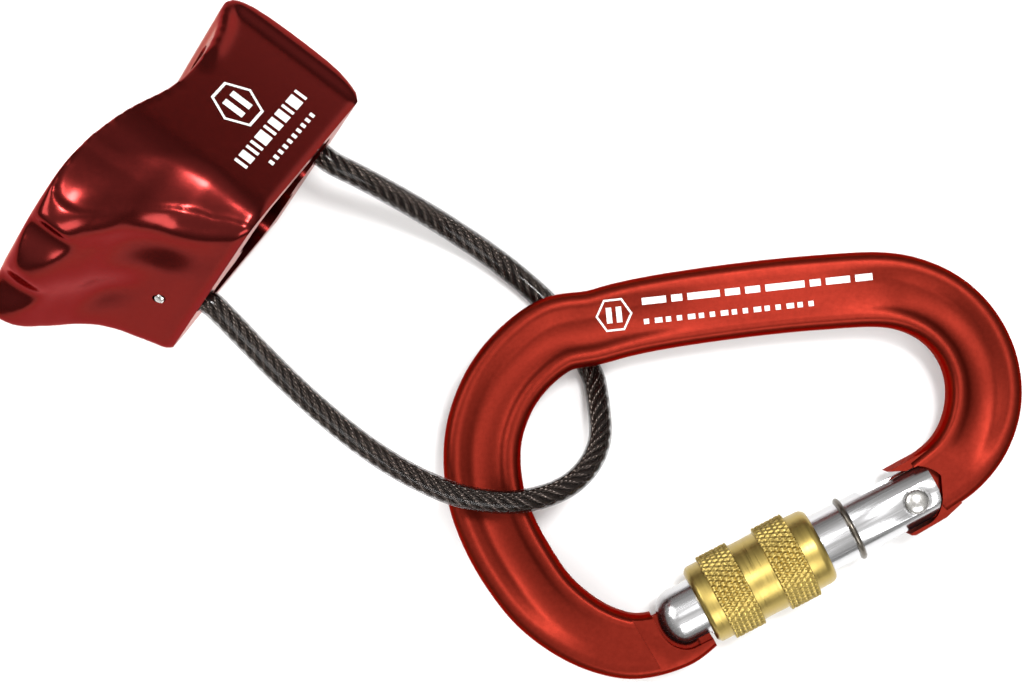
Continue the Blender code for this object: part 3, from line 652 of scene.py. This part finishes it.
def hinge_end_outline():
    """What is kept of the gate: its hinge end is rounded and flattened."""
    points = []
    for degrees in range(110, 261, 4):
        reach = gate_end_radius(radians(degrees))
        points.append((reach * cos(radians(degrees)), reach * sin(radians(degrees))))
    points += [(HINGE_STEP, HINGE_FLAT_OUT), (HINGE_STEP + 1.2 * MM, -9 * MM), (60 * MM, -9 * MM),
               (60 * MM, 9 * MM), (HINGE_STEP + 1.2 * MM, 9 * MM), (HINGE_STEP, HINGE_FLAT_IN)]
    return points


def build_rivet():
    shank, head = RIVET_RADIUS - 0.03 * MM, RIVET_HEAD_RADIUS
    upper = []
    for i in range(9):
        angle = radians(90 - 90 * i / 8)
        upper.append((head * cos(angle), RIVET_DOME_FROM + RIVET_DOME * sin(angle)))
    upper[0] = (0.0, upper[0][1])
    upper += [(head, RIVET_HEAD_FROM), (shank, RIVET_HEAD_FROM)]
    profile = upper + [(radius, -height) for radius, height in reversed(upper)]
    return add_object("rivet_domed", turned_mesh("rivet_domed", profile, 64), across_rivet)


def build_stop_ring():
    ring, radius = [], GATE_RADIUS + 0.08 * MM
    for i in range(121):
        angle = radians(190) + radians(340) * i / 120
        spot = Vector((GATE_OFFSET + radius * cos(angle), radius * sin(angle), STOP_RING_AT))
        ring.append(gate_place @ spot)
    return wire_curve("stop_ring_wire", [ring], STOP_RING_WIRE - 0.02 * MM, 6)


def knurled_mesh():
    """The sleeve, with crossed helical grooves cut into its two raised bands."""
    around = 9 * KNURLS_AROUND
    outline = []          # along the sleeve in millimetres, diameter, whether knurled
    for s, diameter in ((41.3, 12.6), (41.1, 13.3), (40.6, 14.2), (40.3, 14.3), (38.3, 14.3)):
        outline.append((s, diameter, False))
    for high, low in ((38.25, 32.4), (27.4, 21.6)):
        outline.append((high, 15.1, False))
        for i in range(37):
            outline.append((high - 0.12 - (high - low - 0.24) * i / 36, 15.7, True))
        outline.append((low, 15.1, False))
        if high > 30:
            outline += [(low - 0.05, 14.3, False), (30.2, 14.2, False), (27.5, 14.3, False)]
    outline += [(21.55, 13.9, False), (19.2, 13.85, False), (18.5, 13.6, False), (18.0, 12.9, False),
                (17.8, 12.2, False)]
    verts, faces = [], []
    for s, diameter, knurled in outline:
        for k in range(around):
            turn = k / around
            radius = diameter / 2 * MM
            if knurled:
                climb = s / KNURL_ROW
                first = abs(((turn * KNURLS_AROUND + climb * KNURL_LEAN) % 1.0) - 0.5) * 2
                second = abs(((turn * KNURLS_AROUND - climb * KNURL_LEAN) % 1.0) - 0.5) * 2
                over = max(0.0, max(first, second) - KNURL_LAND)
                radius -= KNURL_DEPTH * over / (1 - KNURL_LAND)
            angle = 2 * pi * turn
            verts.append((GATE_OFFSET + radius * cos(angle), radius * sin(angle), s * MM))
    for s in (SLEEVE_FROM, SLEEVE_TO):
        for k in range(around):
            angle = 2 * pi * k / around
            x, y = GATE_OFFSET + SLEEVE_BORE * cos(angle), SLEEVE_BORE * sin(angle)
            verts.append((x, y, s))
    rows = len(outline) + 2
    for row in range(rows):
        for k in range(around):
            after = (k + 1) % around
            here, below = row * around, (row + 1) % rows * around
            faces.append((here + k, here + after, below + after, below + k))
    data = bpy.data.meshes.new("sleeve_knurled")
    data.from_pydata(verts, [], faces)
    shape = bmesh.new()
    shape.from_mesh(data)
    return mesh_from("sleeve_knurled", shape, 40)


# ---- belay device ---------------------------------------------------------------------------
def side_outline():
    """The body seen from its side: brake side, lip, top and rear."""
    outline = smooth_curve([Vector(p) * MM for p in (
        (-18.8, -6.0), (-18.8, 0.0), (-21.2, 5.5), (-23.8, 10.5), (-27.5, 14.8), (-31.8, 17.8),
        (-35.9, 21.4), (-37.6, 25.3), (-35.8, 27.9), (-32.5, 28.8), (-27.5, 29.0), (-20.5, 28.5),
        (-12.8, 26.7), (-5.0, 24.6), (1.0, 24.0), (8.0, 24.5), (13.6, 25.7), (17.8, 27.4),
        (20.5, 26.9), (22.3, 23.0), (23.3, 15.6), (22.8, 7.8), (21.0, 2.0), (20.0, 0.0),
        (19.0, -6.0))], 4)
    return [(p.x, p.y) for p in outline]


def plan_outline():
    """The body seen along the ropes, with the three lobes of its lip."""
    corner, rear = CORNER_RADIUS, BODY_REAR + 0.2 * MM
    half = [(rear, 0.0)]
    for degrees in range(0, 91, 9):
        half.append((rear - corner + corner * cos(radians(degrees)),
                     BODY_HALF_WIDTH - corner + corner * sin(radians(degrees))))
    half += [(x * MM, y * MM) for x, y in reversed(FLANK)]
    for y in (14.6, 13.7, 12.8, 11.2, 9.6, 8.0, 6.4, 4.8, 3.2, 1.6, 0.0):
        lobe = 0.5 - 0.5 * cos(2 * pi * y / LOBE_PITCH)
        edge = max(0.0, y - LOBE_PITCH) ** 2 * 0.4
        notch = LOBE_DEPTH * lobe * (y < LOBE_PITCH)
        half.append(((-37.65 + notch + edge) * MM, y * MM))
    lower = [(x, -y) for x, y in half[1:-1]]
    return half + list(reversed(lower))


def edge_of(outline, front):
    """The side outline's front edge as x over z, or its top edge as z over x, in millimetres."""
    tip = min(range(len(outline)), key=lambda i: outline[i][0])
    if front:
        return [z / MM for x, z in outline[:tip + 1]], [x / MM for x, z in outline[:tip + 1]]
    high = [(x / MM, z / MM) for x, z in outline[tip:] if z > 20 * MM]
    return [x for x, z in high], [z for x, z in high]


def forge(data):
    """Moves the body's skin: a broad round from flat side to brake side, ribs down the brake side
    and a raised border round the flat side."""
    count = len(data.vertices)
    place, normal = np.empty(count * 3), np.empty(count * 3)
    data.vertices.foreach_get("co", place)
    data.vertices.foreach_get("normal", normal)
    p, n = place.reshape(-1, 3) / MM, normal.reshape(-1, 3)
    x, y, z = p[:, 0].copy(), p[:, 1].copy(), p[:, 2].copy()
    outline = side_outline()
    front_x = np.interp(z, *edge_of(outline, True))
    top_z = np.interp(x, *edge_of(outline, False))
    half_width = np.interp(x, *zip(*FLANK))
    near = y < 0
    round_x = np.where(near, np.interp(z, ROUND_AT_HEIGHTS, ROUND_BACK), FAR_ROUND)
    round_y = np.where(near, np.interp(z, ROUND_AT_HEIGHTS, ROUND_ACROSS), FAR_ROUND)
    u = np.clip(1 - (x - front_x) / round_x, 0.0, 1.0)
    v = np.clip((np.abs(y) - half_width + round_y) / round_y, 0.0, 1.0)
    p[:, 0] += round_x * u * (1 - np.sqrt(1 - v ** 2 / 2))
    p[:, 1] -= np.sign(y) * round_y * v * (1 - np.sqrt(1 - u ** 2 / 2))
    p[:, 0] += FAR_LOBE_SHORT / MM * step_up(y, 4.0, 13.0) * step_up(-x, 24.0, 34.0)
    p[:, 1] += FAR_SIDE_OUT / MM * step_up(y, 6.0, 15.0) * step_up(-x, 2.0, 20.0)
    p[:, 1] += LOBES_OUT / MM * step_up(y, -9.0, 3.0) * step_up(-x, 22.0, 32.0)
    valley = (0.5 - 0.5 * np.cos(2 * np.pi * np.abs(y) / LOBE_PITCH)) * (np.abs(y) < LOBE_PITCH)
    front = step_up(-x, 12.0, 17.0) * step_up(-n[:, 0], 0.05, 0.5)
    depth = VALLEY_DEPTH / MM * step_up(z, np.where(near, 0.0, 8.0), 15.0)
    p[:, 0] += depth * (1 - step_up(z, 18.0, 25.0)) * valley * front
    flat = step_up(np.abs(n[:, 1]), 0.75, 0.95)
    border = np.maximum(step_up(x, 18.2, 20.2),
                        step_up(z, top_z - 3.2, top_z - 1.4) * step_up(x, 2.0, 9.0))
    p[:, 1] -= np.sign(y) * WALL_RECESS / MM * flat * (1 - border)
    near_rim = RIM_ROUND - np.clip(z * MM, 0.0, RIM_ROUND)
    inward = (RIM_ROUND - np.sqrt(RIM_ROUND ** 2 - near_rim ** 2)) / MM
    p[:, :2] -= n[:, :2] * inward[:, None]
    data.vertices.foreach_set("co", (p * MM).ravel())


def smoothed(made, name, steps):
    soften = made.modifiers.new(name, "SMOOTH")
    soften.factor = 0.5
    soften.iterations = steps
    bpy.context.view_layer.update()
    return applied(made, ALL_SMOOTH)


def build_body():
    """The two outlines crossed, refined, shaped, and then cut flat, slotted and bored."""
    made = add_object("body_forged", side_prism(side_outline(), 25 * MM), device_place)
    boolean(made, flat_prism(plan_outline(), -9 * MM, 35 * MM), device_place, "INTERSECT")
    fine = made.modifiers.new("fine", "REMESH")
    fine.mode = "VOXEL"
    fine.voxel_size = BODY_GRAIN
    smoothed(made, "round", ROUNDING_STEPS)
    forge(made.data)
    smoothed(made, "settle", SETTLING_STEPS)
    below = flat_prism(box_outline(-60 * MM, 60 * MM, -40 * MM, 40 * MM), -20 * MM, 0.0)
    boolean(made, below, device_place, "DIFFERENCE")
    for side in (-1, 1):
        low, high = sorted((side * SLOT_INNER, side * SLOT_OUTER))
        slot = rounded_box(SLOT_FRONT, SLOT_REAR, low, high, SLOT_CORNER)
        boolean(made, flat_prism(slot, -5 * MM, 40 * MM), device_place, "DIFFERENCE")
    recess = box_outline(-9 * MM, 11 * MM, -3 * MM, 3 * MM)
    boolean(made, flat_prism(recess, -5 * MM, DIVIDER_RECESS), device_place, "DIFFERENCE")
    for bore, turn in BORES.values():
        place = device_place @ Matrix.Translation(bore)
        boolean(made, rod_mesh(CABLE_RADIUS + GAP, -5 * MM, BORE_DEPTH), place, "DIFFERENCE")
        boolean(made, rod_mesh(PIN_RADIUS + 0.1 * MM, 0, 9 * MM), pin_place(bore, turn), "DIFFERENCE")
    made.data.transform(device_place)
    made.matrix_world = Matrix.Identity(4)
    return made


def pin_place(bore, turn):
    """A cross pin's place: at its height in the bore, turned towards the outside."""
    height = Vector((0, 0, PIN_HEIGHT))
    return device_place @ Matrix.Translation(bore + height) @ Matrix.Rotation(turn, 4, "Y")


def build_pins():
    profile = [(0.0, PIN_END + 0.12 * MM), (PIN_RADIUS * 0.75, PIN_END + 0.06 * MM),
               (PIN_RADIUS, PIN_END - 0.15 * MM), (PIN_RADIUS, PIN_INNER_END), (0.0, PIN_INNER_END)]
    made = []
    for side, (bore, turn) in BORES.items():
        name = side + "_pin_end"
        made.append(add_object(name, turned_mesh(name, profile, 40), pin_place(bore, turn)))
    return made


# ---- keeper loop ----------------------------------------------------------------------------
def cable_line(inside, step):
    """The loop's middle line, from inside one bore to the same depth inside the other."""
    def at_depth(bore, depth):
        return device_place @ (bore + Vector((0, 0, depth)))
    route = [at_depth(REAR_BORE, -2.5 * MM), *[p + SET_SHIFT for p in LOOP_ROUTE],
             at_depth(FRONT_BORE, -2.5 * MM)]
    outside = smooth_curve([at_depth(REAR_BORE, 0), *route, at_depth(FRONT_BORE, 0)], 8)
    return even_steps([at_depth(REAR_BORE, inside), *outside, at_depth(FRONT_BORE, inside)], step)


def carried_axes(line):
    """A pair of cross axes at each point of the line, carried along it without twist."""
    axes, side = [], None
    for i, spot in enumerate(line):
        ahead = (line[min(i + 1, len(line) - 1)] - line[max(i - 1, 0)]).normalized()
        if side is None:
            side = ahead.orthogonal().normalized()
        side = (side - ahead * side.dot(ahead)).normalized()
        axes.append((side, ahead.cross(side)))
    return axes


def rope_wires():
    """Every wire of the laid rope, as lines of points."""
    line = cable_line(SHEATH_IN - 1 * MM, ROPE_STEP)
    axes = carried_axes(line)
    lines = []
    for strand in range(STRANDS):
        for wire in range(WIRES):
            points = []
            for i, (spot, (side, up)) in enumerate(zip(line, axes)):
                walked = i * ROPE_STEP
                turn = 2 * pi * (strand / STRANDS + walked / STRAND_LAY)
                out = side * cos(turn) + up * sin(turn)
                across = up * cos(turn) - side * sin(turn)
                small = 2 * pi * (wire / WIRES - walked / WIRE_LAY)
                centre = spot + out * STRAND_AT
                around = out * cos(small) + across * sin(small)
                points.append(centre + around * (STRAND_RADIUS - WIRE_RADIUS))
            lines.append(points)
    return lines


# ---- printed marks --------------------------------------------------------------------------
def hexagon_mark(centre, radius):
    """Quads of a hexagon's outline with two short bars standing in it."""
    corners = [Vector((cos(pi / 3 * k), sin(pi / 3 * k))) * radius for k in range(7)]
    middle = Vector(centre)
    quads = []
    for a, b in zip(corners, corners[1:]):
        for i in range(4):
            c, d = a.lerp(b, i / 4), a.lerp(b, (i + 1) / 4)
            corner_points = (c, d, d * HEXAGON_INSIDE, c * HEXAGON_INSIDE)
            quads.append([tuple(middle + point) for point in corner_points])
    for x in (-0.42, 0.12):
        quads += bar_shape(middle.x + radius * x, middle.y, radius * 0.3, radius * 0.85, 2)
    return quads


def bar_shape(x, y, length, height, cuts=6):
    """Quads of a bar that starts at x and is centred on y."""
    ends = [x + length * k / cuts for k in range(cuts + 1)]
    low, high = y - height / 2, y + height / 2
    return [box_outline(start, end, low, high) for start, end in zip(ends, ends[1:])]


def marks_on(name, quads, place, ground, look):
    """Flat marks drawn in place's x-y plane and laid on the ground object's surface."""
    shape = bmesh.new()
    for quad in quads:
        corners = [shape.verts.new((x * MM, y * MM, 0)) for x, y in quad]
        shape.faces.new(corners)
    bmesh.ops.remove_doubles(shape, verts=shape.verts, dist=0.002 * MM)
    made = add_object(name, mesh_from(name, shape), place)
    lay = made.modifiers.new("lay", "SHRINKWRAP")
    lay.target = ground
    lay.wrap_method = "PROJECT"
    lay.use_project_z = True
    lay.use_negative_direction = True
    lay.use_positive_direction = False
    lay.wrap_mode = "ABOVE_SURFACE"
    lay.offset = MARK_LIFT
    bpy.context.view_layer.update()
    return wear(applied(made), look)


def wall_marks():
    """A hexagon, a row of bars and a row of small squares, about the flat side's middle."""
    quads = hexagon_mark((0.0, 4.4), 4.6)
    start = -10.6
    for length in (0.7, 1.7, 0.7, 0.7, 2.4, 0.7, 1.7, 1.7, 0.7, 2.4, 0.7):
        quads += bar_shape(start, -2.3, length, 2.4, 3)
        start += length + 0.75
    for k in range(10):
        quads += bar_shape(-6.4 + 1.6 * k, -5.9, 0.8, 0.9, 2)
    return quads


def spine_marks():
    """The same hexagon, then two rows of bars and squares along the spine."""
    quads = hexagon_mark((-20.5, 0.1), 3.2)
    start = -15.5
    for length in (4.2, 1.9, 5.6, 2.6, 2.6, 6.8, 1.9, 4.2, 3.0):
        quads += bar_shape(start, 1.9, length, 1.2)
        start += length + 0.9
    for k in range(16):
        quads += bar_shape(-15.5 + 1.9 * k, -1.6, 0.9 + 0.4 * (k % 3 == 1), 0.9, 2)
    return quads


# ---- places ---------------------------------------------------------------------------------
def device_axes():
    """The belay device's axes: towards its rear, across it, and along the ropes."""
    rope = Vector((-0.8 * cos(ROPE_TILT), 0.6 * cos(ROPE_TILT), sin(ROPE_TILT)))
    across = Vector((0.6, 0.8, 0))
    upward = rope.cross(across)
    if upward.z < 0:
        upward = -upward
    rear = (across - upward) * sqrt(0.5)
    return Matrix((rear, rope.cross(rear), rope)).transposed().to_4x4()


def gate_axes():
    """The shut gate's axes: inward, up or down, and along it from the rivet."""
    along = Vector((cos(GATE_DIRECTION), sin(GATE_DIRECTION), 0))
    inward = Vector((along.y, -along.x, 0))
    return Matrix((inward, along.cross(inward), along)).transposed().to_4x4()


gate_place = Matrix.Translation(RIVET_AT + SET_SHIFT) @ gate_axes()
across_rivet = gate_place @ Matrix.Rotation(pi / 2, 4, "X")
device_place = Matrix.Translation(RIM_CENTRE + SET_SHIFT) @ device_axes()

# ---- camera, light, floor -------------------------------------------------------------------
bpy.context.scene.view_settings.view_transform = "Standard"
camera = bpy.data.objects.new("camera", bpy.data.cameras.new("camera"))
bpy.context.scene.collection.objects.link(camera)
camera.location = SET_SHIFT + Vector((0, 0, CAMERA_HEIGHT))
camera.data.lens = CAMERA_LENS
camera.data.sensor_width = CAMERA_SENSOR
camera.data.clip_end = 10
bpy.context.scene.camera = camera


def soft_box(name, place, target, width, height, power):
    data = bpy.data.lights.new(name, "AREA")
    data.shape = "RECTANGLE"
    data.size, data.size_y = width, height
    data.energy = power
    lamp = add_object(name, data)
    lamp.location = place
    lamp.rotation_euler = (Vector(target) - Vector(place)).to_track_quat("-Z", "Y").to_euler()


def studio():
    """A world that brightens towards the zenith, three soft boxes and a pale floor."""
    world = bpy.data.worlds.new("studio")
    bpy.context.scene.world = world
    world.use_nodes = True
    back = world.node_tree.nodes["Background"]
    nodes, links = world.node_tree.nodes, world.node_tree.links
    height = nodes.new("ShaderNodeSeparateXYZ")
    links.new(nodes.new("ShaderNodeTexCoord").outputs["Generated"], height.inputs["Vector"])
    glow = nodes.new("ShaderNodeMapRange")
    glow.interpolation_type = "SMOOTHSTEP"
    glow.inputs["From Min"].default_value = 0.1
    glow.inputs["From Max"].default_value = 1.0
    glow.inputs["To Min"].default_value = GLOW_FROM
    glow.inputs["To Max"].default_value = GLOW_TO
    links.new(height.outputs["Z"], glow.inputs["Value"])
    links.new(glow.outputs["Result"], back.inputs["Strength"])
    back.inputs["Color"].default_value = (1.0, 0.985, 0.96, 1)
    soft_box("key", (0.11, 0.15, 0.62), (-0.04, 0.02, 0.02), *KEY_LIGHT)
    soft_box("left_light", (-0.52, 0.16, 0.55), (0, 0, 0), *SIDE_LIGHT)
    soft_box("front_light", (0.2, -0.52, 0.55), (0, 0, 0), *SIDE_LIGHT)
    bpy.ops.mesh.primitive_plane_add(size=FLOOR_SIZE)
    floor = bpy.context.object
    floor.name = "floor"
    floor.location.z = cad_low.z - FLOOR_GAP
    look = Look("floor_paper", (0.93, 0.93, 0.93), 0.0, 0.7)
    tone = look.mapped(look.noise(30.0), 0.0, 1.0)
    look.colour_from(look.mixed(tone, (0.92, 0.92, 0.92), (0.94, 0.94, 0.94)))
    wear(floor, look.made)


studio()

# ---- the pieces -----------------------------------------------------------------------------
wine = red_anodised("red_anodised_wine", (0.115, 0.0085, 0.0075), (0.125, 0.010, 0.0085),
                    roughness=0.22, coat=0.12)
satin = red_anodised("red_anodised_satin", (0.12, 0.0105, 0.006), (0.142, 0.013, 0.0075),
                     roughness=0.42, coat=0.0)
aluminium = drawn_metal("aluminium_polished", (0.56, 0.56, 0.57), 0.22, (2600, 2600, 60))
steel = drawn_metal("steel_bright", (0.55, 0.54, 0.52), 0.25, (1500, 1500, 1500))
spring_wire = drawn_metal("steel_spring_wire", (0.13, 0.115, 0.095), 0.3, (1500, 1500, 1500))
rope_steel = drawn_metal("steel_rope_wire", (0.15, 0.12, 0.105), 0.1, (900, 900, 900))
brass = drawn_metal("brass_turned", (0.37, 0.275, 0.08), 0.36, (90, 90, 5200), 0.18)
jacket = jacket_look()
marking = mark_look()

cord_line = cable_line(SHEATH_IN, JACKET_STEP)
sheath = wear(wire_curve("jacket_tube", [cord_line], CABLE_RADIUS, 8), jacket)
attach(sheath, "belay_device")
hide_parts("cable_sheath")
wires = wear(wire_curve("rope_wires", rope_wires(), WIRE_RADIUS, 1), rope_steel)
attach(wires, "belay_device")
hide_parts("cable_rope")

bar = wear(build_frame(), satin)
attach(bar, "carabiner")
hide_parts("carabiner_frame")
gate = wear(build_gate(), aluminium)
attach(gate, "gate")
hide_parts("gate_tube")
rivet = wear(build_rivet(), steel)
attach(rivet, "carabiner")
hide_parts("gate_rivet")
ring = wear(build_stop_ring(), spring_wire)
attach(ring, "gate")
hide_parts("stop_ring")
sleeve = wear(add_object("sleeve_knurled", knurled_mesh(), gate_place), brass)
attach(sleeve, "sleeve")
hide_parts("screw_sleeve")

body = wear(build_body(), wine)
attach(body, "belay_device")
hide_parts("tube_body")
wall_axes = Matrix.Rotation(pi / 2, 4, "X")
wall_place = device_place @ Matrix.Translation(WALL_MARKS_AT) @ wall_axes
body_marks = marks_on("body_marks", wall_marks(), wall_place, body, marking)
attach(body_marks, "belay_device")
spine_turn = Matrix.Rotation(SPINE_ANGLE, 4, "Z")
spine_place = Matrix.Translation(SET_SHIFT + SPINE_MARKS_AT) @ spine_turn
spine_marked = marks_on("carabiner_marks", spine_marks(), spine_place, bar, marking)
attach(spine_marked, "carabiner")
for name, pin in zip(("rear_cable_pin", "front_cable_pin"), build_pins()):
    wear(pin, steel)
    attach(pin, "belay_device")
    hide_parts(name)
for name in ("front_ferrule", "rear_ferrule", "gate_spring", "spring_pusher"):
    wear(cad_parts[name], steel)
